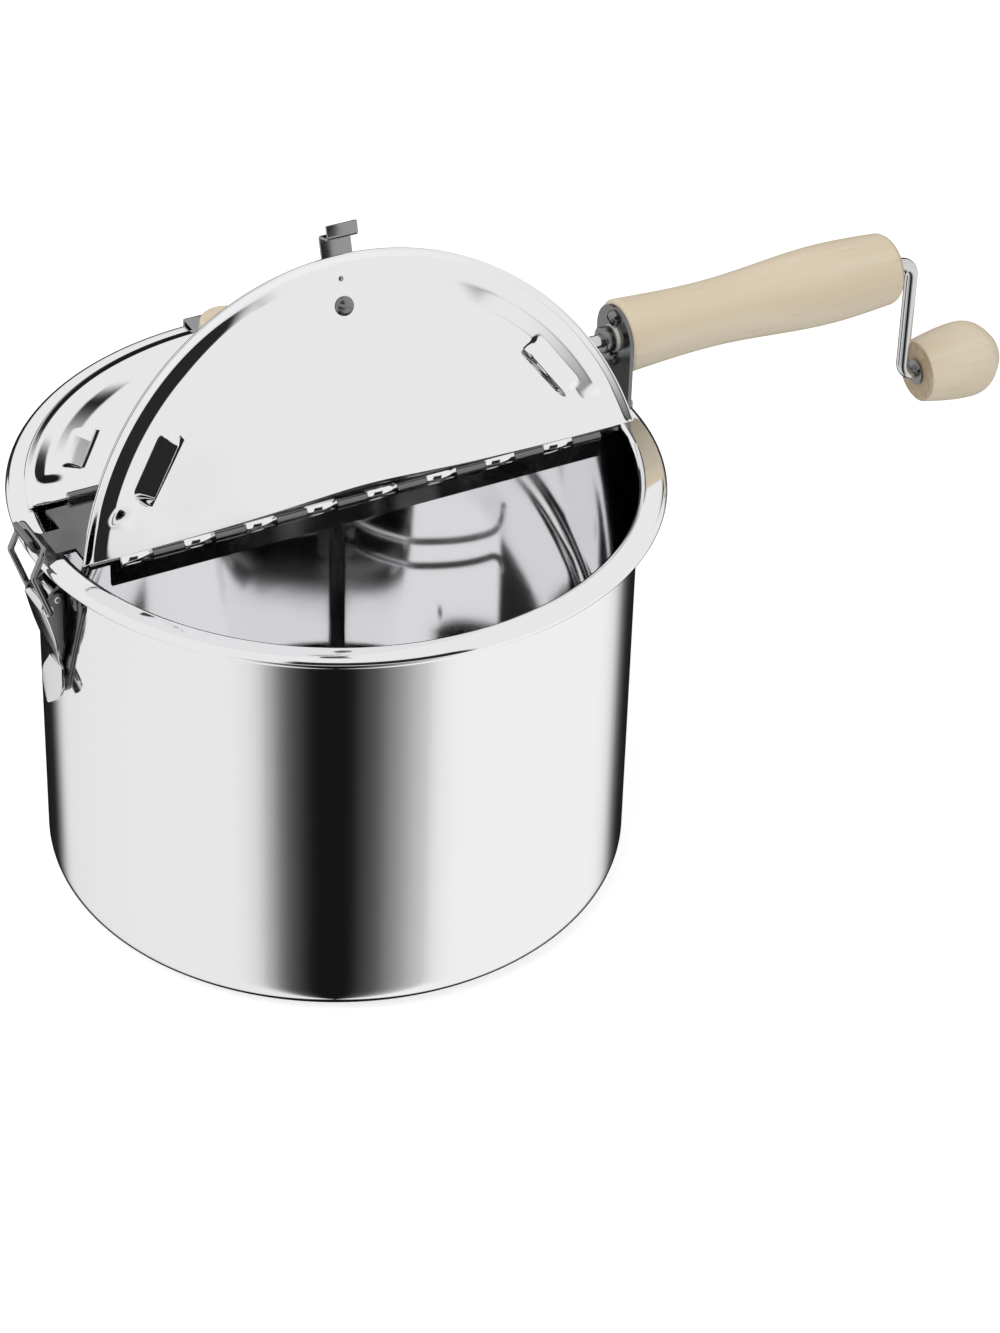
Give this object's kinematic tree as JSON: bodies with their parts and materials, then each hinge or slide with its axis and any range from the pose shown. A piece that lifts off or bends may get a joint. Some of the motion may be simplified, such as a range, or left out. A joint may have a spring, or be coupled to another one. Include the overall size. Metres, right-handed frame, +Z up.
{
  "type": "stovetop popcorn popper",
  "caption": "Stovetop popcorn popper: flared steel pot with hinged half lids, a side latch, a turned wooden handle and a geared hand crank that turns a wire stirrer.",
  "frame": {"origin": "centre of the pot's flat base, on the surface it stands on", "axes": "+Z up, +X from the pot's axis along the handle, +Y towards the closed rear lid; the front lid, open at rest, is on the -Y side"},
  "size_m": [0.4119, 0.2458, 0.2686],
  "materials": {
    "pot_steel": "bright polished stainless sheet",
    "lid_steel": "bright polished stainless sheet",
    "bar_steel": "smooth rolled steel",
    "latch_steel": "plated steel, bright",
    "spring_steel": "bright spring steel",
    "wire_steel": "bright drawn wire",
    "screw_steel": "plated steel",
    "gear_metal": "cast alloy, satin",
    "bush_plastic": "natural nylon",
    "handle_wood": "turned pale hardwood, clear lacquer"
  },
  "bodies": {
    "pot_assembly": {"pot_body": "pot_steel", "latch_plate": "latch_steel", "latch_rivets": "latch_steel", "latch_pin": "latch_steel", "crossbar": "bar_steel", "rim_hook": "spring_steel", "rear_hinge_pin": "wire_steel", "front_hinge_pin": "wire_steel", "handle_grip": "handle_wood", "handle_screws": "screw_steel", "gear_bracket": "bar_steel", "bracket_rivets": "latch_steel", "rod_bush_inner": "bush_plastic", "rod_bush_outer": "bush_plastic", "shaft_bush": "bush_plastic"},
    "front_lid": {"front_lid": "lid_steel", "front_catch": "spring_steel", "front_lid_knob": "handle_wood", "front_lid_screw": "screw_steel"},
    "rear_lid": {"rear_lid": "lid_steel", "rear_catch": "spring_steel", "rear_lid_knob": "handle_wood", "rear_lid_screw": "screw_steel"},
    "crank": {"crank_rod": "wire_steel", "rod_collar": "screw_steel", "drive_gear": "gear_metal", "drive_gear_pin": "screw_steel", "knob_washer": "screw_steel", "knob_cap": "screw_steel"},
    "crank_knob": {"crank_knob": "handle_wood"},
    "stirrer": {"stirrer_shaft": "wire_steel", "shaft_washer": "screw_steel", "shaft_clip": "spring_steel", "driven_gear": "gear_metal", "driven_gear_pin": "screw_steel", "stirrer_hub": "gear_metal", "stirrer_wires": "wire_steel", "hub_screw": "screw_steel"},
    "latch_lever": {"latch_lever": "latch_steel"},
    "latch_bail": {"latch_bail": "wire_steel"}
  },
  "joints": [
    {"name": "front_lid_hinge", "type": "hinge", "parent": "pot_assembly", "child": "front_lid", "pos_m": [0, -0.0227, 0.1672], "axis": [1, 0, 0], "range_deg": [0, 105.4]},
    {"name": "rear_lid_hinge", "type": "hinge", "parent": "pot_assembly", "child": "rear_lid", "pos_m": [0, 0.0227, 0.1672], "axis": [1, 0, 0], "range_deg": [0, 80]},
    {"name": "crank_spin", "type": "hinge", "parent": "pot_assembly", "child": "crank", "pos_m": [0.1, 0, 0.192], "axis": [1, 0, 0], "continuous": true},
    {"name": "stirrer_spin", "type": "hinge", "parent": "pot_assembly", "child": "stirrer", "pos_m": [0, 0, 0.1], "axis": [0, 0, 1], "continuous": true},
    {"name": "crank_knob_spin", "type": "hinge", "parent": "crank", "child": "crank_knob", "pos_m": [0.27, 0, 0.141], "axis": [1, 0, 0], "continuous": true},
    {"name": "latch_lever_hinge", "type": "hinge", "parent": "pot_assembly", "child": "latch_lever", "pos_m": [-0.114, 0, 0.1475], "axis": [0, 1, 0], "range_deg": [0, 90]},
    {"name": "latch_bail_hinge", "type": "hinge", "parent": "latch_lever", "child": "latch_bail", "pos_m": [-0.1177, 0, 0.1438], "axis": [0, 1, 0], "range_deg": [-90, 0]}
  ],
  "couplings": [
    {"joint": "stirrer_spin", "follows": "crank_spin", "ratio": 0.8},
    {"joint": "latch_bail_hinge", "follows": "latch_lever_hinge", "ratio": -1}
  ]
}
